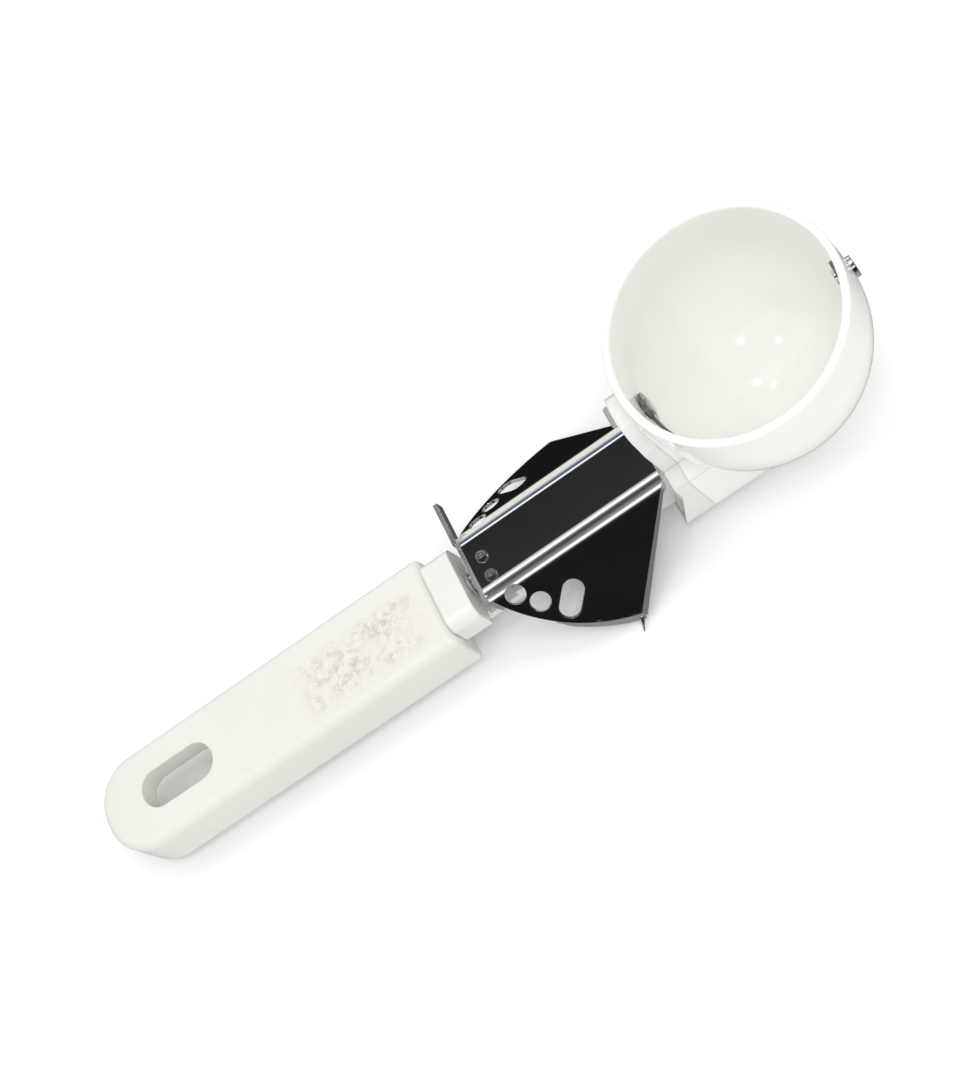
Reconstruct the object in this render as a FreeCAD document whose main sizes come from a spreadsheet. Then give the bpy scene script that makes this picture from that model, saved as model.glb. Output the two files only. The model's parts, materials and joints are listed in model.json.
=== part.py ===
import FreeCAD, Part
import math
import os
import Sketcher

# Hand scoop with a scraper blade, in millimetres.
# Origin: centre of the bowl, on the scraper axis.  +X runs from the grip to the bowl, +Z out of the bowl.
# Pressing the sheet-steel lever turns a pinion through a rack; a shaft and three gears turn the blade.

Vector = FreeCAD.Vector
doc = FreeCAD.newDocument("ScraperScoop")
sheet = doc.addObject("Spreadsheet::Sheet", "Dims")

DIMENSIONS = {
    # bowl
    "bowl_radius": 29.4, "bowl_wall": 2.0, "rim_height": 13.5, "rim_round": 0.8,
    "foot_rear": 29.4, "foot_front": 14.0, "foot_width": 28.0, "foot_top": 15.5, "foot_bottom": 33.3,
    "pad_width": 16.4, "pad_top": 7.2, "blade_round": 26.9, "blade_thick": 0.8, "blade_half": 3.6,
    "blade_disc": 8.0, "disc_face": 26.7,
    # grip
    "grip_rear": 203.5, "grip_front": 98.6, "grip_width": 26.0, "grip_top": 18.5, "grip_bottom": 33.5,
    "grip_end_round": 12.0, "grip_edge_round": 2.5, "grip_roof": 3.2, "grip_wall": 2.4,
    "hang_centre": 179.8, "hang_length": 22.0, "hang_width": 10.0, "hang_rim": 2.4, "hang_depth": 6.5,
    "boss_front": 112.0, "boss_pitch": 20.0, "boss_size": 6.0,
    "cover_front": 101.2, "cover_rear": 166.0, "cover_half": 10.5, "cover_thick": 1.5,
    # neck frame and collar
    "block_rear": 33.4, "block_knee": 20.5, "block_heel": 37.8, "tower_half": 8.2, "tower_round": 7.2,
    "tongue_rear": 42.3, "tongue_half": 8.0, "tongue_step": 18.3, "ear_round": 2.2,
    "spring_slot_half": 3.4, "spring_slot_floor": 22.7,
    "beam_half": 6.5, "beam_top": 27.2, "beam_bottom": 31.8, "beam_rear": 140.0,
    "beam_notch_side": 2.8, "notch_rear": 90.2, "notch_front": 82.0, "notch_top": 29.2,
    "collar_front": 90.4, "collar_rear": 98.4, "collar_half": 10.0, "collar_top": 17.4, "collar_round": 3.5,
    "screw_y": 11.0, "screw_z": 28.0, "screw_size": 2.0, "screw_head": 4.2, "collar_screw_y": 4.6,
    # gears
    "gear_module": 0.8, "gear_width": 2.0, "gear_front": 29.7, "chamber_depth": 2.4,
    "drive_drop": 24.0, "idler_drop": 10.8, "pinion_width": 4.0,
    # lever
    "lever_front": 34.8, "lever_rear": 86.2, "lever_top": 16.4, "lever_half": 8.8, "sheet_thick": 0.8,
    "bend_round": 6.5, "flare": 45.0, "wing_tip": 58.2, "wing_depth": 25.3, "wing_round": 43.5,
    "pivot_back": 38.3, "pivot_drop": 19.8, "lug_round": 3.0,
    "hole_size": 5.2, "long_hole_width": 5.4,
    "rack_radius": 48.0, "rack_thick": 1.2, "rack_half": 8.5, "rack_reach": 16.0,
    "rivet_x": 82.4, "rivet_size": 1.8, "rivet_head": 3.2, "catch_side": 20.0,
    # shafts and pins
    "shaft_size": 3.0, "shaft_rear": 97.9, "pin_size": 2.6, "pin_near": 9.5, "pin_far": 17.0,
    "bush_size": 5.0, "idler_pin_size": 2.0, "fit_gap": 0.05,
}
RIVET_SIDES = ("1.2", "-4.4")
for row, (alias, size) in enumerate(DIMENSIONS.items(), start=1):
    sheet.set("A%d" % row, alias)
    sheet.set("B%d" % row, str(size))
    sheet.setAlias("B%d" % row, alias)
doc.recompute()


def size(expression):
    """Value of an expression written with the sheet's aliases."""
    value = sheet.evalExpression(bind(expression))
    return float(getattr(value, "Value", value))


def bind(expression):
    """Put the sheet's name before each alias of an expression."""
    words = []
    word = ""
    for letter in str(expression) + " ":
        if letter.isalnum() or letter == "_":
            word += letter
            continue
        words.append("Dims." + word if word in DIMENSIONS else word)
        words.append(letter)
        word = ""
    return "".join(words).strip()


def set_sizes(feature, **sizes):
    """Bind properties of a feature; two underscores stand for a dot."""
    for name, expression in sizes.items():
        feature.setExpression(name.replace("__", "."), bind(expression))


def body(label):
    print("making", label, flush=True)
    made = doc.addObject("PartDesign::Body", label)
    made.Label = label
    return made


def plane(owner, role):
    return next(f for f in owner.Origin.OriginFeatures if f.Role == role)


def attach(owner, sketch, role, lift):
    sketch.AttachmentSupport = [(plane(owner, role), "")]
    sketch.MapMode = "FlatFace"
    sketch.setExpression("AttachmentOffset.Base.z", bind(lift))


def outline(owner, name, role, corners, lift="0"):
    """Closed sketch through corners (x, y); a third entry rounds the way to the next corner.

    The third entry is an arc radius, positive when the arc's centre lies left of the way.
    """
    sketch = owner.newObject("Sketcher::SketchObject", name)
    attach(owner, sketch, role, lift)
    points = [Vector(size(c[0]), size(c[1]), 0) for c in corners]
    count = len(corners)
    for i, corner in enumerate(corners):
        start, end = points[i], points[(i + 1) % count]
        if len(corner) < 3:
            sketch.addGeometry(Part.LineSegment(start, end))
            continue
        radius = size(corner[2])
        sketch.addGeometry(arc_between(start, end, radius))
    for i, corner in enumerate(corners):
        last = (i - 1) % count
        first_end = arc_end(corner, True)
        last_end = arc_end(corners[last], False)
        sketch.addConstraint(Sketcher.Constraint("Coincident", last, last_end, i, first_end))
        for axis, entry in (("DistanceX", corner[0]), ("DistanceY", corner[1])):
            value = size(entry)
            if abs(value) < 1e-9:
                on_axis = -2 if axis == "DistanceX" else -1
                sketch.addConstraint(Sketcher.Constraint("PointOnObject", i, first_end, on_axis))
                continue
            index = sketch.addConstraint(Sketcher.Constraint(axis, -1, 1, i, first_end, value))
            sketch.setExpression("Constraints[%d]" % index, bind(entry))
        if len(corner) > 2:
            chord = (points[(i + 1) % count] - points[i]).Length
            if abs(chord - 2 * abs(size(corner[2]))) < 1e-6:
                sketch.addConstraint(Sketcher.Constraint("Symmetric", i, 1, i, 2, i, 3))
                continue
            index = sketch.addConstraint(Sketcher.Constraint("Radius", i, abs(size(corner[2]))))
            sketch.setExpression("Constraints[%d]" % index, bind("abs(%s)" % corner[2]))
    return sketch


def arc_end(corner, at_start):
    """Sketch point number at a segment's start or end; an arc to the right runs the other way round."""
    backwards = len(corner) > 2 and size(corner[2]) < 0
    return 1 if at_start != backwards else 2


def arc_between(start, end, radius):
    half = (end - start) * 0.5
    left = Vector(-half.y, half.x, 0).normalize()
    rise = math.sqrt(max(radius * radius - half.Length ** 2, 0.0))
    centre = start + half + left * (rise if radius > 0 else -rise)
    angles = [math.atan2(p.y - centre.y, p.x - centre.x) for p in (start, end)]
    if radius < 0:
        angles.reverse()
    circle = Part.Circle(centre, Vector(0, 0, 1), abs(radius))
    return Part.ArcOfCircle(circle, angles[0], angles[1])


def circle_sketch(owner, name, role, x, y, diameter, lift="0"):
    sketch = owner.newObject("Sketcher::SketchObject", name)
    attach(owner, sketch, role, lift)
    sketch.addGeometry(Part.Circle(Vector(size(x), size(y), 0), Vector(0, 0, 1), size(diameter) / 2))
    for axis, entry, on_axis in (("DistanceX", x, -2), ("DistanceY", y, -1)):
        if abs(size(entry)) < 1e-9:
            sketch.addConstraint(Sketcher.Constraint("PointOnObject", 0, 3, on_axis))
            continue
        index = sketch.addConstraint(Sketcher.Constraint(axis, -1, 1, 0, 3, size(entry)))
        sketch.setExpression("Constraints[%d]" % index, bind(entry))
    index = sketch.addConstraint(Sketcher.Constraint("Diameter", 0, size(diameter)))
    sketch.setExpression("Constraints[%d]" % index, bind(diameter))
    return sketch


def box_corners(x0, x1, y0, y1):
    return [(x0, y0), (x1, y0), (x1, y1), (x0, y1)]


def round_ended(x0, x1, half, radius):
    """Rectangle about the X axis whose two corners at x0 are rounded."""
    inner = "(%s)+(%s)" % (x0, radius)
    side = "(%s)-(%s)" % (half, radius)
    return [(inner, "-(%s)" % half), (x1, "-(%s)" % half), (x1, half), (inner, half, radius),
            (x0, side), (x0, "-(%s)" % side, radius)]


def slot_corners(centre, length, width):
    near = "%s-(%s-%s)/2" % (centre, length, width)
    far = "%s+(%s-%s)/2" % (centre, length, width)
    half = "(%s)/2" % width
    return [(near, "-" + half), (far, "-" + half, half), (far, half), (near, half, half)]


def pad(owner, name, sketch, length, symmetric=False, reverse=False):
    feature = owner.newObject("PartDesign::Pad", name)
    return extrude(owner, feature, sketch, length, symmetric, reverse, grows=True)


def pocket(owner, name, sketch, length, symmetric=False, reverse=False):
    feature = owner.newObject("PartDesign::Pocket", name)
    return extrude(owner, feature, sketch, length, symmetric, reverse, grows=False)


def extrude(owner, feature, sketch, length, symmetric, reverse, grows):
    before = volume_below(feature)
    feature.Profile = sketch
    feature.SideType = "Symmetric" if symmetric else "One side"
    feature.Reversed = reverse
    feature.setExpression("Length", bind(length))
    doc.recompute()
    require_valid(feature)
    changed = feature.Shape.Volume - before
    if changed * (1 if grows else -1) < 1e-3:
        raise ValueError("%s changes nothing in %s" % (feature.Label, owner.Label))
    owner.Tip = feature
    return feature


def volume_below(feature):
    base = feature.BaseFeature
    return base.Shape.Volume if base is not None else 0.0


def require_valid(feature):
    if feature.Shape.isNull() or not feature.Shape.isValid():
        raise ValueError("%s gives no valid shape" % feature.Label)


def revolve(owner, name, sketch, axis_role, cut=False):
    kind = "PartDesign::Groove" if cut else "PartDesign::Revolution"
    feature = owner.newObject(kind, name)
    before = volume_below(feature)
    feature.Profile = sketch
    feature.ReferenceAxis = (plane(owner, axis_role), [""])
    feature.Angle = 360
    doc.recompute()
    if abs(feature.Shape.Volume - before) < 1e-3:
        raise ValueError("%s changes nothing in %s" % (name, owner.Label))
    owner.Tip = feature
    return feature


def edges_where(shape, test):
    return ["Edge%d" % (i + 1) for i, edge in enumerate(shape.Edges) if test(edge)]


def round_edges(owner, name, test, radius):
    base = owner.Tip
    feature = owner.newObject("PartDesign::Fillet", name)
    feature.Base = (base, edges_where(base.Shape, test))
    feature.setExpression("Radius", bind(radius))
    doc.recompute()
    require_valid(feature)
    owner.Tip = feature
    return feature


def tube_object(label, outer, inner, length, x, y, z, axis):
    """Round bar or tube along an axis, made of primitives; x, y, z is the centre of its first face."""
    turn = {
        "X": FreeCAD.Rotation(Vector(0, 1, 0), 90),
        "Y": FreeCAD.Rotation(Vector(1, 0, 0), -90),
        "Z": FreeCAD.Rotation(),
    }[axis]
    pieces = []
    for suffix, diameter in (("outer", outer), ("inner", inner)):
        if diameter is None:
            continue
        part = doc.addObject("Part::Cylinder", "%s_%s" % (label, suffix))
        set_sizes(part, Radius="(%s)/2" % diameter, Height=length)
        part.Placement = FreeCAD.Placement(Vector(size(x), size(y), size(z)), turn)
        set_sizes(part, Placement__Base__x=x, Placement__Base__y=y, Placement__Base__z=z)
        pieces.append(part)
    if len(pieces) == 1:
        pieces[0].Label = label
        return pieces[0]
    made = doc.addObject("Part::Cut", label)
    made.Base, made.Tool = pieces
    made.Label = label
    return made


def fuse_object(label, pieces):
    made = doc.addObject("Part::MultiFuse", label)
    made.Shapes = pieces
    made.Label = label
    return made


def shaped_object(label, shape):
    made = doc.addObject("Part::Feature", label)
    made.Shape = shape
    made.Label = label
    return made


# ---------------------------------------------------------------- bowl
def make_bowl():
    """Thin hemisphere with a short straight collar above the scraper axis, on a foot and a rear pad."""
    made = body("bowl")
    foot = outline(made, "foot_side", "XZ_Plane",
                   box_corners("-foot_rear", "-foot_front", "-foot_bottom", "-foot_top"))
    pad(made, "foot", foot, "foot_width", symmetric=True)
    heel = outline(made, "pad_side", "XZ_Plane",
                   box_corners("-foot_rear", "-foot_front", "-foot_top-1", "pad_top"))
    pad(made, "rear_pad", heel, "pad_width", symmetric=True)
    shell = outline(made, "shell_profile", "XZ_Plane", [
        ("0", "-bowl_radius", "bowl_radius"), ("bowl_radius", "0"), ("bowl_radius", "rim_height"),
        ("0", "rim_height")])
    revolve(made, "shell", shell, "Z_Axis")
    inside = outline(made, "inside_profile", "XZ_Plane", [
        ("0", "-bowl_radius+bowl_wall", "bowl_radius-bowl_wall"), ("bowl_radius-bowl_wall", "0"),
        ("bowl_radius-bowl_wall", "rim_height+1"), ("0", "rim_height+1")])
    revolve(made, "inside", inside, "Z_Axis", cut=True)
    rim = size("rim_height")
    round_edges(made, "rim_rounding", lambda e: abs(e.BoundBox.ZMin - rim) < 1e-6, "rim_round")
    # bores on the scraper axis, for the idler pin and for the two screws
    bores = (
        ("shaft_bore", "0", "0", "bush_size", "-foot_rear-1", "4"),
        ("rivet_bore", "0", "0", "pin_size", "bowl_radius-bowl_wall-2", "bowl_wall+3"),
        ("idler_bore", "0", "-idler_drop", "idler_pin_size", "-foot_rear-1", "2.2"),
        ("left_screw_bore", "screw_y", "-screw_z", "screw_size", "-foot_rear-1", "8"),
        ("right_screw_bore", "-screw_y", "-screw_z", "screw_size", "-foot_rear-1", "8"),
    )
    bore_along_x(made, bores)
    return made


def bore_along_x(owner, bores):
    """Round pockets along +X, each given as name, y, z, diameter, start x and depth."""
    for name, y, z, diameter, start, depth in bores:
        at = circle_sketch(owner, name + "_circle", "YZ_Plane", y, z, diameter, start)
        pocket(owner, name, at, depth, reverse=True)


def bore_along_z(owner, bores):
    """Round pockets along +Z, each given as name, x, y, diameter, start z and depth."""
    for name, x, y, diameter, start, depth in bores:
        at = circle_sketch(owner, name + "_circle", "XY_Plane", x, y, diameter, start)
        pocket(owner, name, at, depth, reverse=True)


# ---------------------------------------------------------------- grip
def boss_x(number):
    return "-boss_front-%d*boss_pitch" % number


def make_grip_shell():
    """Long open-bottomed shell with a hanging slot near its rounded end."""
    made = body("grip_shell")
    plan = outline(made, "plan", "XY_Plane",
                   round_ended("-grip_rear", "-grip_front", "grip_width/2", "grip_end_round"), "-grip_top")
    pad(made, "block", plan, "grip_bottom-grip_top", reverse=True)
    depth = size("grip_bottom-grip_top")
    front, top = -size("grip_front"), -size("grip_top")
    round_edges(made, "mouth_rounding",
                lambda e: abs(e.BoundBox.ZLength - depth) < 1e-6 and e.BoundBox.XMin > front - 1, "1")
    round_edges(made, "top_rounding", lambda e: abs(e.BoundBox.ZMin - top) < 1e-6, "grip_edge_round")
    hollow = outline(made, "hollow_plan", "XY_Plane",
                     round_ended("-grip_rear+grip_wall", "-grip_front-grip_wall", "grip_width/2-grip_wall",
                                 "grip_end_round-grip_wall"), "-grip_top-grip_roof")
    pocket(made, "hollow", hollow, "grip_bottom-grip_top")
    rim = outline(made, "slot_rim_plan", "XY_Plane",
                  slot_corners("-hang_centre", "hang_length+2*hang_rim", "hang_width+2*hang_rim"),
                  "-grip_top-grip_roof+0.5")
    pad(made, "slot_rim", rim, "hang_depth-grip_roof+0.5", reverse=True)
    wall = outline(made, "cross_wall_plan", "XY_Plane",
                   box_corners("-cover_rear-grip_wall+0.6", "-cover_rear-0.2", "-grip_width/2+1", "grip_width/2-1"),
                   "-grip_top-grip_roof+0.5")
    pad(made, "cross_wall", wall, "grip_bottom-grip_top-grip_roof+0.5", reverse=True)
    slot = outline(made, "slot_plan", "XY_Plane", slot_corners("-hang_centre", "hang_length", "hang_width"),
                   "-grip_top+1")
    pocket(made, "hanging_slot", slot, "hang_depth+2")
    mouth = outline(made, "mouth_end", "YZ_Plane",
                    box_corners("-beam_half-0.3", "beam_half+0.3", "-grip_bottom-1", "-beam_top+0.3"),
                    "-grip_front+1")
    pocket(made, "tang_mouth", mouth, "grip_wall+2")
    for number in range(2):
        boss = circle_sketch(made, "boss_circle%d" % number, "XY_Plane", boss_x(number), "0", "boss_size",
                             "-beam_top+0.02")
        pad(made, "boss%d" % number, boss, "beam_top-grip_top-grip_roof+0.5")
    bore_along_z(made, [("boss_hole%d" % number, boss_x(number), "0", "screw_size", "-beam_top-1", "5.5")
                        for number in range(2)])
    return made


def make_grip_base_cover():
    """Plate that closes the grip from below, with clearance round the screw heads."""
    made = body("grip_base_cover")
    plan = outline(made, "plan", "XY_Plane",
                   box_corners("-cover_rear", "-cover_front", "-cover_half", "cover_half"), "-grip_bottom")
    pad(made, "plate", plan, "cover_thick")
    bore_along_z(made, [("screw_clearance%d" % number, boss_x(number), "0", "screw_head+0.6", "-grip_bottom-1", "4")
                        for number in range(2)])
    return made


def make_neck_frame():
    """White moulding: gear block, tongue for the lever pin, beam and the tang inside the grip."""
    made = body("neck_frame")
    side = outline(made, "block_side", "XZ_Plane", [
        ("-foot_rear", "-foot_bottom"), ("-foot_rear", "-foot_top"), ("-block_rear", "-foot_top"),
        ("-block_rear", "-block_knee"), ("-block_heel", "-foot_bottom")])
    pad(made, "block", side, "foot_width", symmetric=True)
    tower = outline(made, "tower_face", "YZ_Plane", [
        ("-tower_half", "-foot_top-1"), ("tower_half", "-foot_top-1"), ("tower_half", "-tower_round/2"),
        ("tower_round", "0", "tower_round"), ("-tower_round", "0"), ("-tower_half", "-tower_round/2")],
        "-block_rear")
    pad(made, "tower", tower, "block_rear-foot_rear")
    tongue = outline(made, "tongue_side", "XZ_Plane", [
        ("-block_rear+1", "-beam_bottom"), ("-block_rear+1", "-tongue_step"), ("-pivot_back", "-tongue_step"),
        ("-tongue_rear", "-pivot_drop-1.4"), ("-tongue_rear", "-beam_bottom")])
    pad(made, "tongue", tongue, "2*tongue_half", symmetric=True)
    ear = circle_sketch(made, "ear_circle", "XZ_Plane", "-pivot_back", "-pivot_drop", "2*ear_round")
    pad(made, "ear", ear, "2*tongue_half", symmetric=True)
    beam = outline(made, "beam_side", "XZ_Plane",
                   box_corners("-beam_rear", "-tongue_rear+1", "-beam_bottom", "-beam_top"))
    pad(made, "beam", beam, "2*beam_half", symmetric=True)
    cuts = (
        ("rack_notch", "beam_notch_side", "beam_half+1", "-beam_bottom-1"),
        ("pinion_notch", "-beam_half-1", "beam_half+1", "-notch_top"),
    )
    for name, y0, y1, floor in cuts:
        sketch = outline(made, name + "_plan", "XY_Plane", box_corners("-notch_rear", "-notch_front", y0, y1),
                         floor)
        pocket(made, name, sketch, "8", reverse=True)
    slot = outline(made, "spring_slot_plan", "XY_Plane",
                   box_corners("-tongue_rear-1", "-block_rear-0.8", "-spring_slot_half", "spring_slot_half"),
                   "-spring_slot_floor")
    pocket(made, "spring_slot", slot, "8", reverse=True)
    # gear chamber, open towards the bowl's pad
    bore_along_x(made, (
        ("drive_chamber", "0", "-drive_drop", "16.4", "-foot_rear-chamber_depth", "chamber_depth+1"),
        ("idler_chamber", "0", "-idler_drop", "14", "-foot_rear-chamber_depth", "chamber_depth+1"),
        ("scraper_chamber", "0", "0", "11.6", "-foot_rear-chamber_depth", "chamber_depth+1"),
        ("shaft_clearance", "0", "-drive_drop", "shaft_size+0.4", "-tongue_rear-1", "9"),
        ("front_bush_bore", "0", "-drive_drop", "bush_size", "-block_rear-2.6", "4.5"),
        ("idler_pin_bore", "0", "-idler_drop", "idler_pin_size", "-block_rear-1", "3"),
        ("left_screw_bore", "screw_y", "-screw_z", "screw_size+0.3", "-block_rear-5", "9.5"),
        ("right_screw_bore", "-screw_y", "-screw_z", "screw_size+0.3", "-block_rear-5", "9.5"),
        ("left_counterbore", "screw_y", "-screw_z", "screw_head+0.4", "-block_heel-1", "block_heel+1-block_rear+0.4"),
        ("right_counterbore", "-screw_y", "-screw_z", "screw_head+0.4", "-block_heel-1",
         "block_heel+1-block_rear+0.4"),
    ))
    pin = circle_sketch(made, "pin_bore_circle", "XZ_Plane", "-pivot_back", "-pivot_drop", "pin_size")
    pocket(made, "pin_bore", pin, "2*tongue_half+2", symmetric=True)
    bore_along_z(made, [("tang_hole%d" % number, boss_x(number), "0", "screw_size+0.3", "-beam_bottom-1", "8")
                        for number in range(2)])
    bore_along_z(made, [("collar_hole%d" % number, collar_x(), side + "collar_screw_y", "screw_size+0.3",
                         "-beam_bottom-1", "8") for number, side in enumerate(("-", ""))])
    return made


def collar_x():
    return "-(collar_front+collar_rear)/2"


def make_collar():
    """White bearing block between grip and lever, with rounded shoulders; it sits on the beam."""
    made = body("collar")
    face = outline(made, "face", "YZ_Plane",
                   box_corners("-collar_half", "collar_half", "-beam_top+0.02", "-collar_top"), "-collar_rear")
    pad(made, "plate", face, "collar_rear-collar_front")
    top = -size("collar_top")
    round_edges(made, "shoulders",
                lambda e: abs(e.BoundBox.ZMin - top) < 1e-6 and e.BoundBox.YLength < 1e-6, "collar_round")
    bore_along_x(made, [("bush_bore", "0", "-drive_drop", "bush_size", "-collar_rear-1", "11")])
    bore_along_z(made, [("screw_bore%d" % number, collar_x(), side + "collar_screw_y", "screw_size",
                         "-beam_top-1", "6") for number, side in enumerate(("-", ""))])
    return made


# ---------------------------------------------------------------- lever
def make_lever():
    """Folded sheet: flat top panel, two flared wings cut to a round rear edge, holes and pivot lugs."""
    made = body("lever")
    pad(made, "fold", outline(made, "fold_section", "YZ_Plane", fold_corners(), "-lever_rear"),
        "lever_rear-lever_front")
    features = []
    rim = [("-lever_rear-2", "-1.5"), ("-lever_rear+0.6", "-1.5", "wing_round"), ("-wing_tip", "-wing_depth"),
           ("-lever_front", "-0.4"), ("-lever_front+4", "-0.4"), ("-lever_front+4", "-wing_depth-6"),
           ("-lever_rear-2", "-wing_depth-6")]
    features.append(pocket(made, "wing_rim", wing_sketch(made, "rim_outline", rim), "8", symmetric=True))
    for name, x, y in (("rear_hole", "-79.9", "-3.4"), ("front_hole", "-76.1", "-8.4")):
        sketch = circle_sketch(made, name + "_circle", "XY_Plane", x, y, "hole_size")
        tilt_onto_wing(sketch)
        features.append(pocket(made, name, sketch, "8", symmetric=True))
    sketch = wing_sketch(made, "long_hole_outline", long_hole_corners())
    features.append(pocket(made, "long_hole", sketch, "8", symmetric=True))
    mirror = made.newObject("PartDesign::Mirrored", "far_wing_cuts")
    mirror.Originals = features
    mirror.MirrorPlane = (plane(made, "XZ_Plane"), [""])
    made.Tip = mirror
    doc.recompute()
    require_valid(mirror)
    for name, lift in (("near_lug", "tongue_half+0.1"), ("far_lug", "-tongue_half-0.1-sheet_thick")):
        lug = outline(made, name + "_side", "XZ_Plane", [
            ("-pivot_back-lug_round", "-pivot_drop", "lug_round"), ("-pivot_back+lug_round", "-pivot_drop"),
            ("-pivot_back+lug_round", "-lever_top-sheet_thick"), ("-pivot_back-lug_round", "-lever_top-sheet_thick")],
            lift)
        pad(made, name, lug, "sheet_thick")
    bore = circle_sketch(made, "pin_circle", "XZ_Plane", "-pivot_back", "-pivot_drop", "pin_size+2*fit_gap",
                         "pin_near")
    pocket(made, "pin_hole", bore, "40")
    bore_along_z(made, [("rivet_hole%d" % number, "-rivet_x", side, "rivet_size", "-lever_top-2", "4")
                        for number, side in enumerate(RIVET_SIDES)])
    return made


def fold_corners():
    """Cross-section of the folded sheet: panel, two bends and two flared wings of even thickness."""
    bend_y = "(lever_half-bend_round*tan(flare/2))"
    bend_z = "(-lever_top-bend_round)"
    reach = "(wing_depth+2)"

    def on_bend(side, radius):
        return (side + "(%s+(%s)*sin(flare))" % (bend_y, radius), "%s+(%s)*cos(flare)" % (bend_z, radius))

    def on_wing(side, radius):
        y, z = on_bend("", radius)
        return (side + "(%s+%s*cos(flare))" % (y, reach), "%s-%s*sin(flare)" % (z, reach))

    outer, inner = "bend_round", "bend_round-sheet_thick"
    return [
        on_wing("", outer), on_bend("", outer) + (outer,), (bend_y, "-lever_top"),
        ("-" + bend_y, "-lever_top", outer), on_bend("-", outer), on_wing("-", outer),
        on_wing("-", inner), on_bend("-", inner) + ("-(%s)" % inner,), ("-" + bend_y, "-lever_top-sheet_thick"),
        (bend_y, "-lever_top-sheet_thick", "-(%s)" % inner), on_bend("", inner), on_wing("", inner),
    ]


def long_hole_corners():
    """Slot with round ends that leans back, given by its two end centres and its width."""
    x0, y0, x1, y1 = -67.9, -10.5, -71.3, -13.9
    width = size("long_hole_width")
    run = math.hypot(x1 - x0, y1 - y0)
    across = (-(y1 - y0) / run * width / 2, (x1 - x0) / run * width / 2)
    return [
        (str(x0 - across[0]), str(y0 - across[1])),
        (str(x1 - across[0]), str(y1 - across[1]), "long_hole_width/2"),
        (str(x1 + across[0]), str(y1 + across[1])),
        (str(x0 + across[0]), str(y0 + across[1]), "long_hole_width/2"),
    ]


def tilt_onto_wing(sketch):
    """Lay a sketch in the near wing's outer face: sketch y runs up the wing to the bend line."""
    sketch.AttachmentOffset = FreeCAD.Placement(
        Vector(0, -size("lever_half"), -size("lever_top")), FreeCAD.Rotation(Vector(1, 0, 0), size("flare")))
    set_sizes(sketch, AttachmentOffset__Base__y="-lever_half", AttachmentOffset__Base__z="-lever_top",
              AttachmentOffset__Rotation__Angle="flare")


def wing_sketch(owner, name, corners):
    sketch = outline(owner, name, "XY_Plane", corners)
    tilt_onto_wing(sketch)
    return sketch


# ---------------------------------------------------------------- toothed parts
def tooth_profile(teeth, backlash):
    """Half a tooth's flank as (radius, half angle) pairs of a 20 degree involute, root to tip."""
    module = size("gear_module")
    pitch = module * teeth / 2
    base = pitch * math.cos(math.radians(20))
    root, tip = pitch - 1.15 * module, pitch + 0.8 * module
    roll = lambda r: math.sqrt(max((r / base) ** 2 - 1, 0.0))
    involute = lambda r: roll(r) - math.atan(roll(r))
    half_pitch = (math.pi * module / 2 - backlash) / 2 / pitch
    radii = [max(base, root)]
    steps = 5
    radii += [radii[0] + (tip - radii[0]) * (k + 1) / steps for k in range(steps)]
    flank = [(r, half_pitch + involute(pitch) - involute(r)) for r in radii]
    return [(root, flank[0][1])] + flank if root < base else flank


def gear_shape(teeth, width, bore, turn=0.0, backlash=0.16):
    """Spur gear about the X axis, first face at x = 0; turn sets the first tooth's angle."""
    flank = tooth_profile(teeth, backlash)
    points = []
    for tooth in range(teeth):
        middle = 2 * math.pi * tooth / teeth + turn
        for radius, half in flank:
            points.append((radius, middle - half))
        for radius, half in reversed(flank):
            points.append((radius, middle + half))
    ring = [Vector(0, r * math.cos(a), r * math.sin(a)) for r, a in points]
    disc = Part.Face(Part.makePolygon(ring + ring[:1])).extrude(Vector(width, 0, 0))
    hole = Part.makeCylinder(bore / 2, width + 2, Vector(-1, 0, 0), Vector(1, 0, 0))
    return disc.cut(hole)


def moved(shape, x, y, z):
    shape.translate(Vector(x, y, z))
    return shape


PINION_TEETH, DRIVE_TEETH, IDLER_TEETH, SCRAPER_TEETH = 10, 18, 15, 12
LEVER_RATIO = 12


def make_gears():
    """Drive, idler and scraper gears in one plane, and the pinion that the rack turns."""
    width = size("gear_width")
    plane_x = -size("gear_front") - width
    shaft = size("shaft_size")
    idler_bore = size("idler_pin_size+2*fit_gap")
    up, down = math.pi / 2, -math.pi / 2
    gears = (
        ("drive_gear", DRIVE_TEETH, shaft, up, "drive_drop"),
        ("idler_gear", IDLER_TEETH, idler_bore, down + math.pi / IDLER_TEETH, "idler_drop"),
        ("scraper_gear", SCRAPER_TEETH, shaft, down + math.pi / SCRAPER_TEETH, "0"),
    )
    for label, teeth, bore, turn, drop in gears:
        shaped_object(label, moved(gear_shape(teeth, width, bore, turn), plane_x, 0, -size(drop)))
    length = size("pinion_width")
    pinion = gear_shape(PINION_TEETH, length, shaft, math.pi / PINION_TEETH)
    shaped_object("drive_pinion", moved(pinion, mesh_x() - length / 2, 0, -size("drive_drop")))


def mesh_x():
    """Where the rack crosses the level of the drive shaft."""
    reach = size("rack_radius+rack_thick/2")
    return -size("pivot_back") - math.sqrt(reach ** 2 - size("drive_drop-pivot_drop") ** 2)


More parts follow.
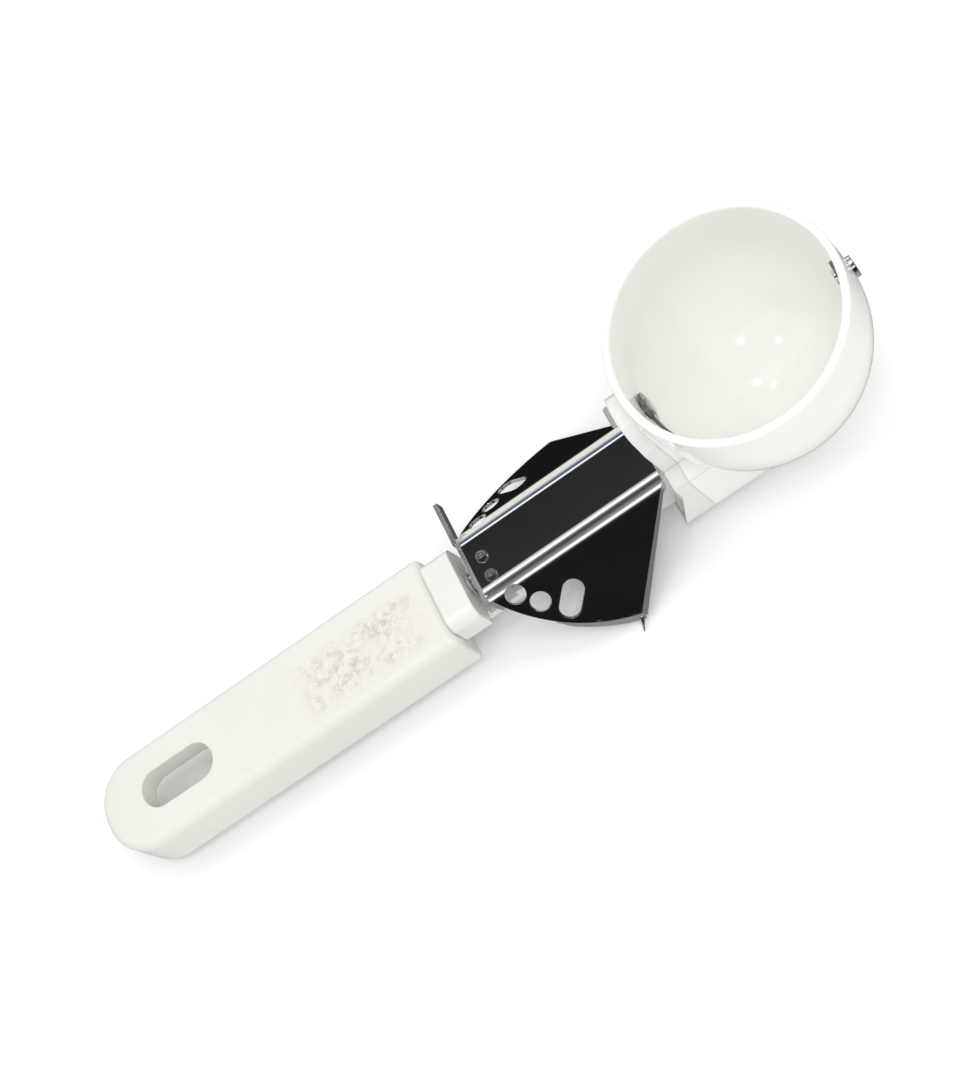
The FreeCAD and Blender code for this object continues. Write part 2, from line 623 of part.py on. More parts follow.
def make_rack():
    """Curved end plate about the pivot pin: a fork whose one prong is a rack, with a catch at the far side."""
    radius, thick, half = size("rack_radius"), size("rack_thick"), size("rack_half")
    module = size("gear_module")
    centre = Vector(-size("pivot_back"), 0, -size("pivot_drop"))
    reach = size("rack_reach")
    outer = radius + thick
    pitch_y = module * PINION_TEETH / 2
    under = -size("lever_top+sheet_thick") - 0.02
    top_angle = math.degrees(math.asin((under - centre.z) / outer))
    wall = sector(centre, radius, outer, -half, half, -top_angle, reach)
    window = sector(centre, radius - 1, outer + 1, -6.9, pitch_y + 1.25 * module, -top_angle + 2.1, reach + 3)
    short = sector(centre, radius - 1, outer + 1, -half - 1, -6.8, 9.0, reach + 3)
    plate = wall.cut([window, short])
    step = 360.0 / PINION_TEETH / LEVER_RATIO
    first = math.degrees(math.asin(size("drive_drop-pivot_drop") / (radius + thick / 2)))
    teeth = [rack_tooth(centre, first + k * step, radius, thick, pitch_y, module) for k in range(-1, 4)]
    rear = centre.x - outer
    catch = Part.makeBox(thick, size("catch_side") - half + 1, 3.2, Vector(rear + 0.1, half - 1, under - 1.4))
    near = Part.makeBox(thick, 2.6, 1.6, Vector(rear + 0.1, -half - 1.6, under - 1.7))
    tab = Part.makeBox(-size("rivet_x") + 2.4 - rear, 9.6, 0.8, Vector(rear + 0.1, -5.9, under - 0.8))
    plate = plate.fuse(teeth + [catch, near, tab])
    for side in RIVET_SIDES:
        hole = Part.makeCylinder(size("rivet_size") / 2, 6, Vector(-size("rivet_x"), float(side), under - 3))
        plate = plate.cut(hole)
    shaped_object("lever_rack", plate.removeSplitter())


def sector(centre, inner, outer, y0, y1, start, end):
    """Block between two radii about a Y line; angles in degrees below the rearward horizontal."""
    ring = Part.makeCylinder(outer, y1 - y0, centre + Vector(0, y0, 0), Vector(0, 1, 0))
    ring = ring.cut(Part.makeCylinder(inner, y1 - y0, centre + Vector(0, y0, 0), Vector(0, 1, 0)))
    rays = [centre + Vector(0, y0, 0)]
    for angle in (start, end):
        turn = math.radians(angle)
        rays.append(centre + Vector(-math.cos(turn) * outer * 1.2, y0, -math.sin(turn) * outer * 1.2))
    wedge = Part.Face(Part.makePolygon(rays + rays[:1])).extrude(Vector(0, y1 - y0, 0))
    return ring.common(wedge)


def rack_tooth(centre, angle, radius, thick, pitch_y, module):
    """One straight-sided rack tooth that points towards the pinion."""
    spread = math.tan(math.radians(20))
    half = (math.pi * module / 2 - 0.16) / 2
    tip_y, root_y = pitch_y - 0.75 * module, pitch_y + 1.3 * module
    tip, root = half - 0.75 * module * spread, half + 1.3 * module * spread
    corners = [(tip_y, -tip), (root_y, -root), (root_y, root), (tip_y, tip)]
    ring = [Vector(-radius - thick, y, z) for y, z in corners]
    tooth = Part.Face(Part.makePolygon(ring + ring[:1])).extrude(Vector(thick, 0, 0))
    tooth.rotate(Vector(), Vector(0, 1, 0), -angle)
    tooth.translate(centre)
    return tooth


# ---------------------------------------------------------------- blade, shafts, pins
def make_blade():
    """Narrow spherical strip that hugs the bowl, tapered to a ring at each pole."""
    outer, thick, half = size("blade_round"), size("blade_thick"), size("blade_half")
    shell = Part.makeSphere(outer).cut(Part.makeSphere(outer - thick))
    lens = Part.Face(Part.Wire(Part.Ellipse(Vector(), 30.0, half).toShape())).extrude(Vector(0, 0, 60))
    lens.rotate(Vector(), Vector(1, 0, 0), 90)
    pole = size("disc_face")
    slab = Part.makeBox(2 * pole - 0.6, 60, 60, Vector(-pole + 0.3, -60, -30))
    strip = shell.common(lens).common(slab)
    discs = [Part.makeCylinder(size("blade_disc") / 2, thick, Vector(x, 0, 0), Vector(1, 0, 0))
             for x in (-pole, pole - thick)]
    blade = strip.fuse(discs)
    blade = blade.cut(Part.makeCylinder(size("shaft_size") / 2, 12, Vector(-30, 0, 0), Vector(1, 0, 0)))
    blade = blade.cut(Part.makeCylinder(size("pin_size/2+fit_gap"), 12, Vector(20, 0, 0), Vector(1, 0, 0)))
    shaped_object("scraper_blade", blade.removeSplitter())


def make_spring():
    """Torsion spring round the pivot pin, with one leg under the lever panel and one on the tongue."""
    wire, turns = 0.6, 7.5
    coil = size("pin_size") / 2 + 0.08 + wire / 2
    pitch = wire + 0.2
    helix = Part.makeHelix(pitch, pitch * turns, coil)
    face = Part.Wire(Part.makeCircle(wire / 2, Vector(coil, 0, 0), Vector(0, 1, 0)))
    spring = Part.Wire(helix.Edges).makePipeShell([face], True, True)
    legs = [Part.makeCylinder(wire / 2, 4.2, Vector(x, 0.15, z), Vector(0, -1, 0))
            for x, z in ((coil, 0), (-coil, pitch * turns))]
    spring = spring.fuse(legs)
    spring.rotate(Vector(), Vector(1, 0, 0), -90)
    spring.translate(Vector(0, -pitch * turns / 2, 0))
    spring.rotate(Vector(), Vector(0, 1, 0), -86)
    spring.translate(Vector(-size("pivot_back"), 0, -size("pivot_drop")))
    shaped_object("return_spring", spring)


def make_round_parts():
    gap = "shaft_size+2*fit_gap"
    tube_object("drive_shaft", "shaft_size", None, "shaft_rear-gear_front", "-shaft_rear", "0", "-drive_drop", "X")
    tube_object("rear_bush", "bush_size", gap, "collar_rear-collar_front+0.1", "-collar_rear", "0", "-drive_drop", "X")
    tube_object("front_bush", "bush_size", gap, "4.2", "-block_rear-2.5", "0", "-drive_drop", "X")
    tube_object("scraper_bush", "bush_size", gap, "bowl_wall-0.2", "-foot_rear", "0", "0", "X")
    tube_object("shaft_clip", "6", "shaft_size", "0.7", "-collar_front+0.2", "0", "-drive_drop", "X")
    tube_object("idler_pin", "idler_pin_size", None, "block_rear-foot_rear+1", "-block_rear+0.2", "0",
                "-idler_drop", "X")
    tube_object("lever_pivot_pin", "pin_size", None, "pin_near+pin_far", "-pivot_back", "-pin_near",
                "-pivot_drop", "Y")
    tube_object("blade_washer", "5", "pin_size+2*fit_gap", "0.4", "disc_face+0.05", "0", "0", "X")
    headed = {
        "scraper_shaft": [("shaft_size", "gear_front+gear_width-disc_face+blade_thick+0.6", "-gear_front-gear_width"),
                          ("4.4", "0.6", "-disc_face+blade_thick")],
        "blade_pivot_rivet": [("pin_size", "bowl_radius-disc_face+blade_thick+1", "disc_face-blade_thick-0.8"),
                              ("4.4", "0.75", "disc_face-blade_thick-0.8"), ("5.4", "1", "bowl_radius+0.01")],
    }
    for label, stages in headed.items():
        bars = [tube_object("%s_stage%d" % (label, n), diameter, None, length, x, "0", "0", "X")
                for n, (diameter, length, x) in enumerate(stages)]
        fuse_object(label, bars)


def screw(name, x, y, z, length, axis):
    """Flat-headed screw; x, y, z is the outer face of its head."""
    head = tube_object(name + "_head", "screw_head", None, "1.4", x, y, z, axis)
    under = (x + "+1.4", y, z) if axis == "X" else (x, y, z + "+1.4")
    shank = tube_object(name + "_shank", "screw_size", None, length, *under, axis)
    return fuse_object(name, [head, shank])


def group(label, solids):
    made = doc.addObject("Part::Compound", label)
    made.Links = solids
    made.Label = label


def make_screws():
    """Screws through the tang into the grip, through the beam into the collar and from block to bowl."""
    group("grip_screws", [screw("grip_screw%d" % n, boss_x(n), "0", "-beam_bottom-1.4", "9", "Z")
                          for n in range(2)])
    group("collar_screws", [screw("collar_screw%d" % n, collar_x(), side + "collar_screw_y", "-beam_bottom-1.4",
                                  "9", "Z") for n, side in enumerate(("-", ""))])
    group("bowl_screws", [screw("bowl_screw%d" % n, "-block_rear-1", side + "screw_y", "-screw_z", "9.8", "X")
                          for n, side in enumerate(("-", ""))])


def make_rivets():
    """Two round-headed rivets that hold the rack plate's tab under the lever panel."""
    solids = []
    for n, side in enumerate(RIVET_SIDES):
        under = "-lever_top-sheet_thick-0.84"
        shank = tube_object("rack_rivet_shank%d" % n, "rivet_size", None, "1.9", "-rivet_x", side, under, "Z")
        head = doc.addObject("Part::Sphere", "rack_rivet_dome%d" % n)
        head.Placement = FreeCAD.Placement(Vector(-size("rivet_x"), float(side), -size("lever_top")),
                                           FreeCAD.Rotation())
        set_sizes(head, Radius="rivet_head/2", Placement__Base__x="-rivet_x", Placement__Base__y=side,
                  Placement__Base__z="-lever_top")
        head.Angle1 = 0
        foot = tube_object("rack_rivet_foot%d" % n, "2.8", None, "0.4", "-rivet_x", side, under + "-0.4", "Z")
        solids.append(fuse_object("rack_rivet%d" % n, [shank, head, foot]))
    group("rack_rivets", solids)


make_bowl()
make_neck_frame()
make_collar()
make_grip_shell()
make_grip_base_cover()
make_lever()
make_rack()
make_gears()
make_blade()
make_spring()
make_round_parts()
make_screws()
make_rivets()

SUBPARTS = (
    "bowl", "bowl_screws", "neck_frame", "grip_shell", "grip_base_cover", "grip_screws", "collar", "collar_screws",
    "lever", "lever_rack", "rack_rivets", "lever_pivot_pin", "return_spring",
    "drive_shaft", "drive_pinion", "shaft_clip", "front_bush", "rear_bush", "drive_gear",
    "idler_gear", "idler_pin", "scraper_gear", "scraper_shaft", "scraper_bush", "scraper_blade",
    "blade_pivot_rivet", "blade_washer",
)
doc.recompute()
for item in doc.Objects:
    if "Invalid" in item.State or "Error" in item.State:
        raise RuntimeError("%s is %s" % (item.Label, item.State))
os.makedirs("parts", exist_ok=True)
for label in SUBPARTS:
    found = doc.getObjectsByLabel(label)[0]
    if found.Shape.isNull() or not found.Shape.isValid():
        raise RuntimeError("%s has no valid shape" % label)
    found.Shape.exportStep("parts/%s.step" % label)
    print(label, len(found.Shape.Solids), round(found.Shape.Volume, 1))
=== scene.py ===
import json
import math

import bpy
from mathutils import Matrix, Vector


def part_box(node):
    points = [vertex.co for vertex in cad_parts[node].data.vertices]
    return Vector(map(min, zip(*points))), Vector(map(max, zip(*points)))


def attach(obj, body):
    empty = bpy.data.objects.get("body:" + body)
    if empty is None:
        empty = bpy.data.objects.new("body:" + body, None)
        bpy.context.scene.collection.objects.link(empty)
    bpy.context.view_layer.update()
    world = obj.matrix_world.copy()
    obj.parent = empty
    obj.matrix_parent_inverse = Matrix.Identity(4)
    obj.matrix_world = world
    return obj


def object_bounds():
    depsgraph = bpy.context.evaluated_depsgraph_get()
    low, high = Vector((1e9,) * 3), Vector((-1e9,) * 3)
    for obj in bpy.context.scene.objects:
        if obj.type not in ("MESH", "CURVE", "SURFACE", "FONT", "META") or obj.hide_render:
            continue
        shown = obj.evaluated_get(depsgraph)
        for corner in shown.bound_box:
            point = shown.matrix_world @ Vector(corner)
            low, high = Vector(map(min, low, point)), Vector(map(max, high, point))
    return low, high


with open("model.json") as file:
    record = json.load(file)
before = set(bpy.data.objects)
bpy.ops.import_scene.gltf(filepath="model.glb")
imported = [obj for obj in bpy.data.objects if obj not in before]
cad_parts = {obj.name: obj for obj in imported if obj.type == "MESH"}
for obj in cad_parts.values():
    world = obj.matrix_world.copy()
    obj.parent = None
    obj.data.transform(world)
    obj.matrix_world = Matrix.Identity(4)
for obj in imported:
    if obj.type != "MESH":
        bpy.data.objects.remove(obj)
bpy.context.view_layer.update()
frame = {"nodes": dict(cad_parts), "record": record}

NODES = frame["nodes"]
MM = 0.001


# ------------------------------------------------------------------ materials
def new_material(name):
    mat = bpy.data.materials.new(name)
    mat.use_nodes = True
    tree = mat.node_tree
    return mat, tree.nodes, tree.links, tree.nodes["Principled BSDF"]


def noise(nodes, links, scale, detail, rough, coords):
    tex = nodes.new("ShaderNodeTexNoise")
    tex.inputs["Scale"].default_value = scale
    tex.inputs["Detail"].default_value = detail
    tex.inputs["Roughness"].default_value = rough
    links.new(coords, tex.inputs["Vector"])
    return tex.outputs["Fac"]


def ramp(nodes, links, source, low, high, low_value, high_value):
    node = nodes.new("ShaderNodeMapRange")
    for key, value in (("From Min", low), ("From Max", high), ("To Min", low_value), ("To Max", high_value)):
        node.inputs[key].default_value = value
    node.clamp = True
    links.new(source, node.inputs["Value"])
    return node.outputs["Result"]


def times(nodes, links, *sources):
    result = sources[0]
    for other in sources[1:]:
        node = nodes.new("ShaderNodeMath")
        node.operation = "MULTIPLY"
        links.new(result, node.inputs[0])
        links.new(other, node.inputs[1])
        result = node.outputs[0]
    return result


def mix_color(nodes, links, fac, first, second):
    node = nodes.new("ShaderNodeMixRGB")
    links.new(fac, node.inputs["Fac"])
    for key, value in (("Color1", first), ("Color2", second)):
        if isinstance(value, tuple):
            node.inputs[key].default_value = (*value, 1)
        else:
            links.new(value, node.inputs[key])
    return node.outputs["Color"]


def soft_window(nodes, links, source, low, high, fade):
    """One inside low..high, zero outside, with a soft edge."""
    rise = ramp(nodes, links, source, low - fade, low + fade, 0.0, 1.0)
    fall = ramp(nodes, links, source, high - fade, high + fade, 1.0, 0.0)
    return times(nodes, links, rise, fall)


def rounded_normal(nodes, links, bsdf, source, strength, distance, radius):
    """Edges read as softly rounded, with a fine relief over them."""
    edge = nodes.new("ShaderNodeBevel")
    edge.samples = 4
    edge.inputs["Radius"].default_value = radius
    node = nodes.new("ShaderNodeBump")
    node.inputs["Strength"].default_value = strength
    node.inputs["Distance"].default_value = distance
    links.new(source, node.inputs["Height"])
    links.new(edge.outputs["Normal"], node.inputs["Normal"])
    links.new(node.outputs["Normal"], bsdf.inputs["Normal"])


def worn_patch(nodes, links, coords, shade, worn):
    """Brown flecks on faces that look upward, inside the given X and Y ranges."""
    (x_low, x_high), (y_low, y_high) = worn
    axes = nodes.new("ShaderNodeSeparateXYZ")
    links.new(coords, axes.inputs[0])
    facing = nodes.new("ShaderNodeSeparateXYZ")
    links.new(nodes.new("ShaderNodeNewGeometry").outputs["Normal"], facing.inputs[0])
    patch = times(nodes, links,
                  soft_window(nodes, links, axes.outputs["X"], x_low, x_high, 3.0 * MM),
                  soft_window(nodes, links, axes.outputs["Y"], y_low, y_high, 1.5 * MM),
                  ramp(nodes, links, facing.outputs["Z"], 0.9, 0.98, 0.0, 1.0))
    flecks = ramp(nodes, links, noise(nodes, links, 620.0, 6.0, 0.75, coords), 0.44, 0.62, 0.0, 0.6)
    blotch = ramp(nodes, links, noise(nodes, links, 120.0, 3.0, 0.6, coords), 0.38, 0.6, 0.25, 1.0)
    return mix_color(nodes, links, times(nodes, links, patch, flecks, blotch), shade, (0.44, 0.35, 0.27))


def plastic(name, color, rough=0.16, worn=None, painted_glow=0.03):
    mat, nodes, links, bsdf = new_material(name)
    coords = nodes.new("ShaderNodeTexCoord").outputs["Object"]
    tone = ramp(nodes, links, noise(nodes, links, 38.0, 3.0, 0.55, coords), 0.35, 0.7, 0.0, 1.0)
    darker = tuple(c * k for c, k in zip(color, (0.975, 0.97, 0.955)))
    shade = mix_color(nodes, links, tone, color, darker)
    smudge = noise(nodes, links, 140.0, 4.0, 0.6, coords)
    shine = ramp(nodes, links, smudge, 0.3, 0.75, rough * 0.9, rough * 1.15)
    if worn:
        shade = worn_patch(nodes, links, coords, shade, worn)
    links.new(shade, bsdf.inputs["Base Color"])
    links.new(shine, bsdf.inputs["Roughness"])
    bsdf.inputs["IOR"].default_value = 1.46
    bsdf.inputs["Specular IOR Level"].default_value = 0.42
    # the warm white emission is painted light: a faint glow that lifts the shade on the moulding, though it
    # is no lamp
    bsdf.inputs["Emission Color"].default_value = (1.0, 0.99, 0.95, 1)
    bsdf.inputs["Emission Strength"].default_value = painted_glow
    rounded_normal(nodes, links, bsdf, noise(nodes, links, 900.0, 2.0, 0.5, coords), 0.03, 0.0002, 0.0007)
    return mat


def metal(name, color, rough, grain_scale=600.0, bump_strength=0.03, solid=1.0):
    mat, nodes, links, bsdf = new_material(name)
    coords = nodes.new("ShaderNodeTexCoord").outputs["Object"]
    cloud = ramp(nodes, links, noise(nodes, links, 60.0, 4.0, 0.6, coords), 0.3, 0.7, 0.0, 1.0)
    shade = mix_color(nodes, links, cloud, color, tuple(c * 0.93 for c in color))
    links.new(shade, bsdf.inputs["Base Color"])
    bsdf.inputs["Metallic"].default_value = solid
    smudge = noise(nodes, links, 55.0, 5.0, 0.6, coords)
    links.new(ramp(nodes, links, smudge, 0.3, 0.75, rough * 0.7, rough * 1.6), bsdf.inputs["Roughness"])
    fine = noise(nodes, links, grain_scale, 3.0, 0.6, coords)
    rounded_normal(nodes, links, bsdf, fine, bump_strength, 0.00005, 0.0002)
    return mat


# the worn patch as shares of the handle: its length behind the front end, its half width to each side
WORN_BACK, WORN_FRONT, WORN_NEAR, WORN_FAR = 0.39, 0.06, 0.62, 0.46
grip_low, grip_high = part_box("grip_shell")
grip_long = grip_high.x - grip_low.x
WORN = ((grip_high.x - grip_long * WORN_BACK, grip_high.x - grip_long * WORN_FRONT),
        (grip_low.y * WORN_NEAR, grip_high.y * WORN_FAR))
WHITE = plastic("white_moulding", (0.79, 0.79, 0.765))
# the bowl is the same white plastic as the other mouldings, given a brighter base colour and a stronger
# glow: painted light that lifts the shade inside the bowl
BOWL = plastic("white_bowl_painted_lift", (0.89, 0.89, 0.86), 0.10, painted_glow=0.04)
GRIP = plastic("white_grip", (0.77, 0.765, 0.715), 0.24, WORN)
CHROME = metal("mirror_chrome", (0.80, 0.81, 0.82), 0.05)
STEEL = metal("bright_steel", (0.58, 0.585, 0.59), 0.30, 900.0, 0.08, 0.6)
DARK = metal("dark_steel", (0.20, 0.20, 0.205), 0.22)
RIM = metal("turned_edge", (0.62, 0.62, 0.60), 0.30, 500.0, 0.12)
BRONZE = metal("bronze", (0.62, 0.44, 0.24), 0.35)
FINISH = {"white_plastic": WHITE, "polished_chrome": CHROME, "plain_steel": STEEL, "dark_steel": DARK,
          "bronze": BRONZE}
SPECIAL = {"grip_shell": GRIP, "bowl": BOWL, "lever_rack": RIM, "rack_rivets": DARK,
           "lever_pivot_pin": STEEL}
for entry in frame["record"]["subparts"]:
    item = NODES[entry["node"]]
    item.data.materials.clear()
    item.data.materials.append(SPECIAL.get(entry["node"], FINISH[entry["material_slot"]]))


# ------------------------------------------------------------------ turned edges of the lever wings
HALF_ROOT = math.sqrt(0.5)
EDGE_THICK = 0.5 * MM
RIM_POINTS = 33
RIM_RADIUS_OVER_CHORD = 1.198
RIM_LOW, RIM_TALL, RIM_GROWTH = 0.9 * MM, 1.7 * MM, 0.7 * MM
LOW_POINTS = 2
NEAR_START, FAR_START = 14, 10
FRONT_POINTS = 9
FRONT_TALL, FRONT_TAPER = 1.5 * MM, 0.7 * MM


def add_edge_mesh(name, points, faces):
    """A piece of turned sheet that moves with the lever."""
    mesh = bpy.data.meshes.new(name)
    mesh.from_pydata([tuple(p) for p in points], [], faces)
    mesh.validate()
    item = bpy.data.objects.new(name, mesh)
    bpy.context.scene.collection.objects.link(item)
    mesh.materials.append(RIM)
    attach(item, "lever")


def sheet_strip(name, line, heights, down, inward):
    """Thin strip of sheet hanging along a line of points, with its own height at each point."""
    points, faces = [], []
    for place, height, toward in zip(line, heights, inward):
        shift = toward.normalized() * EDGE_THICK
        points += [place, place + shift, place + shift + down * height, place + down * height]
    for k in range(len(line) - 1):
        a, b = 4 * k, 4 * k + 4
        faces += [(a + i, b + i, b + (i + 1) % 4, a + (i + 1) % 4) for i in range(4)]
    last = 4 * (len(line) - 1)
    faces += [(3, 2, 1, 0), (last, last + 1, last + 2, last + 3)]
    add_edge_mesh(name, points, faces)


lever_low, lever_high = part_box("lever")
lever_points = [v.co.copy() for v in NODES["lever"].data.vertices]
wing_tip = min(lever_points, key=lambda co: co.y)
wing_drop = lever_high.z - wing_tip.z
fold_half = -wing_tip.y - wing_drop
wing_deep = wing_drop / HALF_ROOT


def on_wing(x, deep, side):
    """Point on a wing's outer face, deep along its 45 degree slope; side is -1 near and 1 far."""
    return Vector((x, side * (fold_half + deep * HALF_ROOT), lever_high.z - deep * HALF_ROOT))


def rim_points():
    """Round rear edge of a wing as (x, depth) pairs from the fold to the tip, and the arc's centre."""
    x0, d0 = lever_low.x + 0.6 * MM, 1.5 * MM
    x1, d1 = wing_tip.x, wing_deep
    chord = math.hypot(x1 - x0, d1 - d0)
    radius = RIM_RADIUS_OVER_CHORD * chord
    rise = math.sqrt(radius ** 2 - (chord / 2) ** 2)
    cx = (x0 + x1) / 2 + rise * (d1 - d0) / chord
    cd = (d0 + d1) / 2 - rise * (x1 - x0) / chord
    start, stop = math.atan2(d0 - cd, x0 - cx), math.atan2(d1 - cd, x1 - cx)
    if start - stop > math.pi:
        start -= 2 * math.pi
    if stop - start > math.pi:
        stop -= 2 * math.pi
    turns = [start + (stop - start) * k / (RIM_POINTS - 1) for k in range(RIM_POINTS)]
    return [(cx + radius * math.cos(t), cd + radius * math.sin(t)) for t in turns], (cx, cd)


def round_edge(side, label, first):
    """Edge turned down along the round rim from its point number first: low there, taller to the tip."""
    rim, (cx, cd) = rim_points()
    arc = rim[first:]
    line = [on_wing(x, d, side) for x, d in arc]
    heights = [RIM_LOW if k < LOW_POINTS else RIM_TALL + RIM_GROWTH * k / len(arc) for k in range(len(arc))]
    inward = [on_wing(x + (cx - x) * 0.1, d + (cd - d) * 0.1, side) - on_wing(x, d, side) for x, d in arc]
    sheet_strip("wing_rim_" + label, line, heights, Vector((0, side * 0.3, -0.954)), inward)


def front_edge(side, label):
    """Edge turned forward along the straight front of the wing, tapering towards the fold."""
    front_x, front_deep = lever_high.x - 1.4 * MM, 1.9 * MM
    steps = FRONT_POINTS - 1
    line = [on_wing(wing_tip.x + (front_x - wing_tip.x) * k / steps,
                    wing_deep + (front_deep - wing_deep) * k / steps, side) for k in range(FRONT_POINTS)]
    heights = [FRONT_TALL - FRONT_TAPER * k / steps for k in range(FRONT_POINTS)]
    forward = Vector((0.55, side * 0.25, -0.8)).normalized()
    sheet_strip("wing_front_" + label, line, heights, forward, [Vector((-1, 0, -0.3))] * FRONT_POINTS)


def point_at_tip(side, label):
    """Small sharp sliver that sticks out past the corner of the wing."""
    base = on_wing(wing_tip.x, wing_deep, side) + Vector((0.1, 0, -0.5)) * MM
    reach = base + Vector((-2.2, -3.0, -2.4)) * MM
    wide, thick = Vector((1.1 * MM, 0, 0)), Vector((0, 0.4, 0.3)) * MM
    points = [base, base - wide, base - wide - thick, base - thick, reach, reach - wide * 0.25]
    faces = [(0, 1, 2, 3), (0, 4, 5, 1), (3, 2, 5, 4), (0, 3, 4), (1, 5, 2)]
    add_edge_mesh("wing_point_" + label, points, faces)


round_edge(-1, "near", NEAR_START)
front_edge(-1, "near")
point_at_tip(-1, "near")
round_edge(1, "far", FAR_START)
front_edge(1, "far")


# ------------------------------------------------------------------ floor, light, camera
FLOOR_GAP, FLOOR_REACH = 0.4 * MM, 3.0
SKY = 0.84
INK, DIM = (0.010, 0.010, 0.011), (0.045, 0.047, 0.05)
OLIVE, CREAM = (0.10, 0.10, 0.06), (1.0, 0.98, 0.90)
BLUE, PALE_BLUE = (0.10, 0.13, 0.19), (0.45, 0.50, 0.58)
GREY, SOFT, BRIGHT = (0.20, 0.21, 0.22), (0.42, 0.42, 0.41), (1.5, 1.5, 1.5)
# colour seen in reflections by angle about X in degrees: 0 is along +Y, 90 is straight up
BANDS = [(-180, GREY), (-150, SOFT), (-85, SOFT), (-55, INK), (-26, INK), (-23, OLIVE), (-17, OLIVE),
         (-12, CREAM), (18, CREAM), (27, PALE_BLUE), (33, BLUE), (41, BLUE), (46, BRIGHT), (49, BRIGHT),
         (52, DIM), (58, INK), (66, DIM), (76, BRIGHT), (80, BRIGHT), (87, GREY), (97, DIM), (108, GREY),
         (117, SOFT), (121, BRIGHT), (126, BRIGHT), (134, DIM), (146, INK), (170, INK), (179, GREY)]
BOWL_CENTRE = (0, 0, 0)
# small lamps aimed at the bowl: name, place in m, the two sides in m, power in W
LAMPS = [("lamp_a", (-0.28, -0.10, 0.60), 0.055, 0.03, 0.22),
         ("lamp_b", (0.16, 0.16, 0.62), 0.04, 0.035, 0.16),
         ("lamp_c", (0.02, 0.28, 0.60), 0.05, 0.025, 0.16),
         ("lamp_d", (0.08, -0.34, 0.58), 0.035, 0.06, 0.18)]
CAMERA_RIGHT, CAMERA_BACK = (0.8023, -0.4076, -0.4361), (0.2304, -0.4625, 0.8561)
CAMERA_PLACE_MM = (51.6, -257.1, 468.6)
LENS_MM, SENSOR_MM = 86.52, 36.0
NEAR_CLIP = 0.01


def area_light(name, place, aim, size, size_y, power, mirrored=True):
    """Rectangular lamp; one that isn't mirrored lights the object but isn't seen in reflections."""
    data = bpy.data.lights.new(name, "AREA")
    data.energy = power
    data.shape = "RECTANGLE"
    data.size = size
    data.size_y = size_y
    lamp = bpy.data.objects.new(name, data)
    bpy.context.scene.collection.objects.link(lamp)
    lamp.location = place
    lamp.rotation_euler = (Vector(aim) - Vector(place)).to_track_quat("-Z", "Y").to_euler()
    lamp.visible_glossy = mirrored


def make_floor():
    mesh = bpy.data.meshes.new("floor")
    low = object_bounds()[0][2] - FLOOR_GAP
    corners = [(-FLOOR_REACH, -FLOOR_REACH, low), (FLOOR_REACH, -FLOOR_REACH, low),
               (FLOOR_REACH, FLOOR_REACH, low), (-FLOOR_REACH, FLOOR_REACH, low)]
    mesh.from_pydata(corners, [], [(0, 1, 2, 3)])
    floor = bpy.data.objects.new("floor", mesh)
    bpy.context.scene.collection.objects.link(floor)
    mat, nodes, links, bsdf = new_material("floor_pale")
    coords = nodes.new("ShaderNodeTexCoord").outputs["Object"]
    tone = ramp(nodes, links, noise(nodes, links, 3.0, 2.0, 0.5, coords), 0.3, 0.7, 0.0, 1.0)
    links.new(mix_color(nodes, links, tone, (0.965, 0.965, 0.965), (0.955, 0.955, 0.957)),
              bsdf.inputs["Base Color"])
    bsdf.inputs["Roughness"].default_value = 0.9
    floor.data.materials.append(mat)
    floor.visible_glossy = False


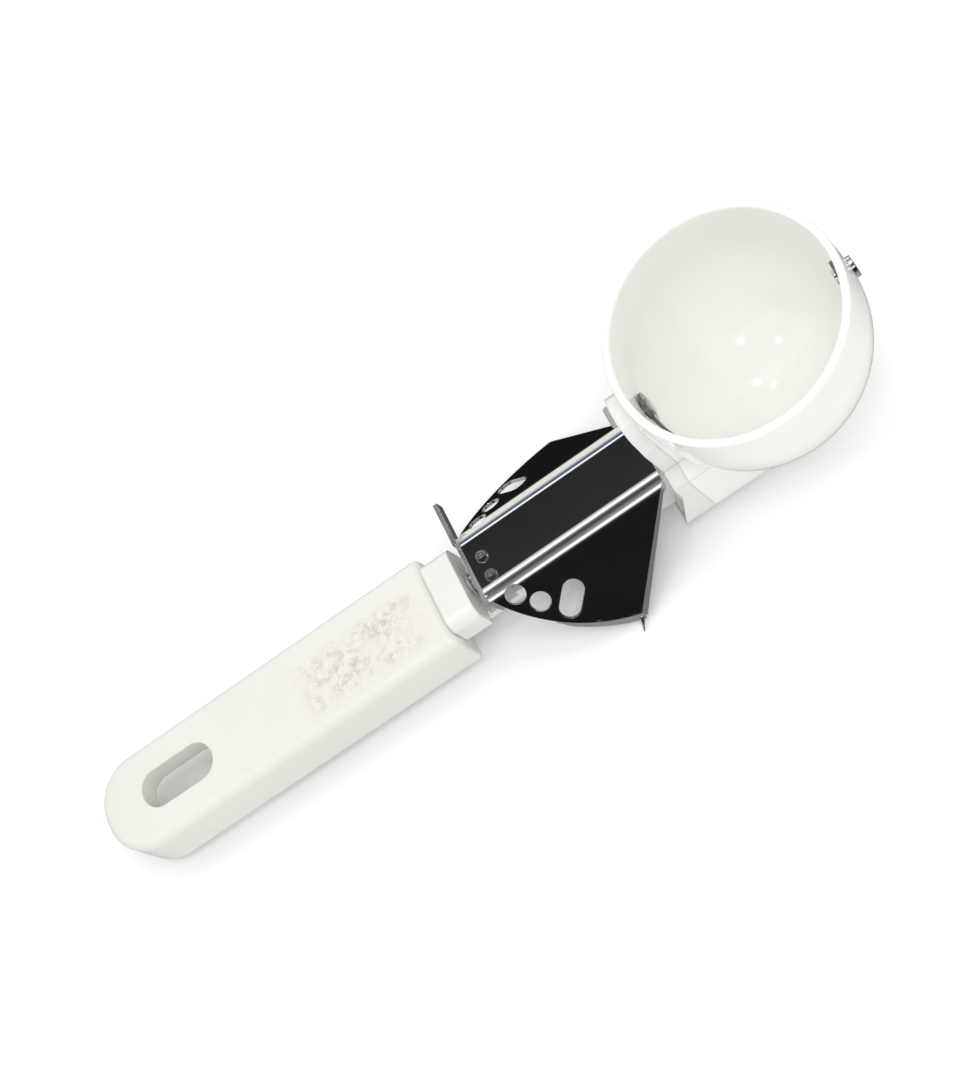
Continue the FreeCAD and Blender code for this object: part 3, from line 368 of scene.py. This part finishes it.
def studio_world():
    """Even white light; reflections see a darker room with bright strips, by the angle about X."""
    world = bpy.data.worlds.new("studio")
    bpy.context.scene.world = world
    world.use_nodes = True
    nodes, links = world.node_tree.nodes, world.node_tree.links
    white = nodes["Background"]
    white.inputs["Color"].default_value = (1, 1, 1, 1)
    white.inputs["Strength"].default_value = SKY
    axes = nodes.new("ShaderNodeSeparateXYZ")
    links.new(nodes.new("ShaderNodeTexCoord").outputs["Generated"], axes.inputs[0])
    turn = nodes.new("ShaderNodeMath")
    turn.operation = "ARCTAN2"
    links.new(axes.outputs["Z"], turn.inputs[0])
    links.new(axes.outputs["Y"], turn.inputs[1])
    share = ramp(nodes, links, turn.outputs[0], -math.pi, math.pi, 0.0, 1.0)
    bands = nodes.new("ShaderNodeValToRGB")
    bands.color_ramp.interpolation = "LINEAR"
    links.new(share, bands.inputs["Fac"])
    stops = bands.color_ramp.elements
    while len(stops) > 1:
        stops.remove(stops[-1])
    stops[0].position, stops[0].color = 0.0, (*BANDS[0][1], 1)
    for degrees, color in BANDS[1:]:
        stop = stops.new((degrees + 180.0) / 360.0)
        stop.color = (*color, 1)
    room = nodes.new("ShaderNodeBackground")
    links.new(bands.outputs["Color"], room.inputs["Color"])
    path = nodes.new("ShaderNodeLightPath")
    mix = nodes.new("ShaderNodeMixShader")
    links.new(path.outputs["Is Glossy Ray"], mix.inputs["Fac"])
    links.new(white.outputs[0], mix.inputs[1])
    links.new(room.outputs[0], mix.inputs[2])
    links.new(mix.outputs[0], nodes["World Output"].inputs["Surface"])


make_floor()
studio_world()
area_light("key_light", (0.22, -0.32, 0.85), (-0.06, 0, 0), 0.45, 0.45, 2.0, mirrored=False)
area_light("fill_light", (-0.6, 0.4, 0.8), (-0.08, 0, 0), 0.6, 0.6, 0.5, mirrored=False)
for lamp_name, lamp_place, side_a, side_b, lamp_power in LAMPS:
    area_light(lamp_name, lamp_place, BOWL_CENTRE, side_a, side_b, lamp_power)

camera = bpy.data.objects.new("camera", bpy.data.cameras.new("camera"))
bpy.context.scene.collection.objects.link(camera)
right = Vector(CAMERA_RIGHT).normalized()
back = Vector(CAMERA_BACK).normalized()
up = back.cross(right).normalized()
right = up.cross(back)
place = Matrix((right, up, back)).transposed().to_4x4()
place.translation = Vector(CAMERA_PLACE_MM) * MM
camera.matrix_world = place
camera.data.sensor_fit = "HORIZONTAL"
camera.data.sensor_width = SENSOR_MM
camera.data.lens = LENS_MM
camera.data.clip_start = NEAR_CLIP
bpy.context.scene.camera = camera
bpy.context.scene.view_settings.view_transform = "Standard"
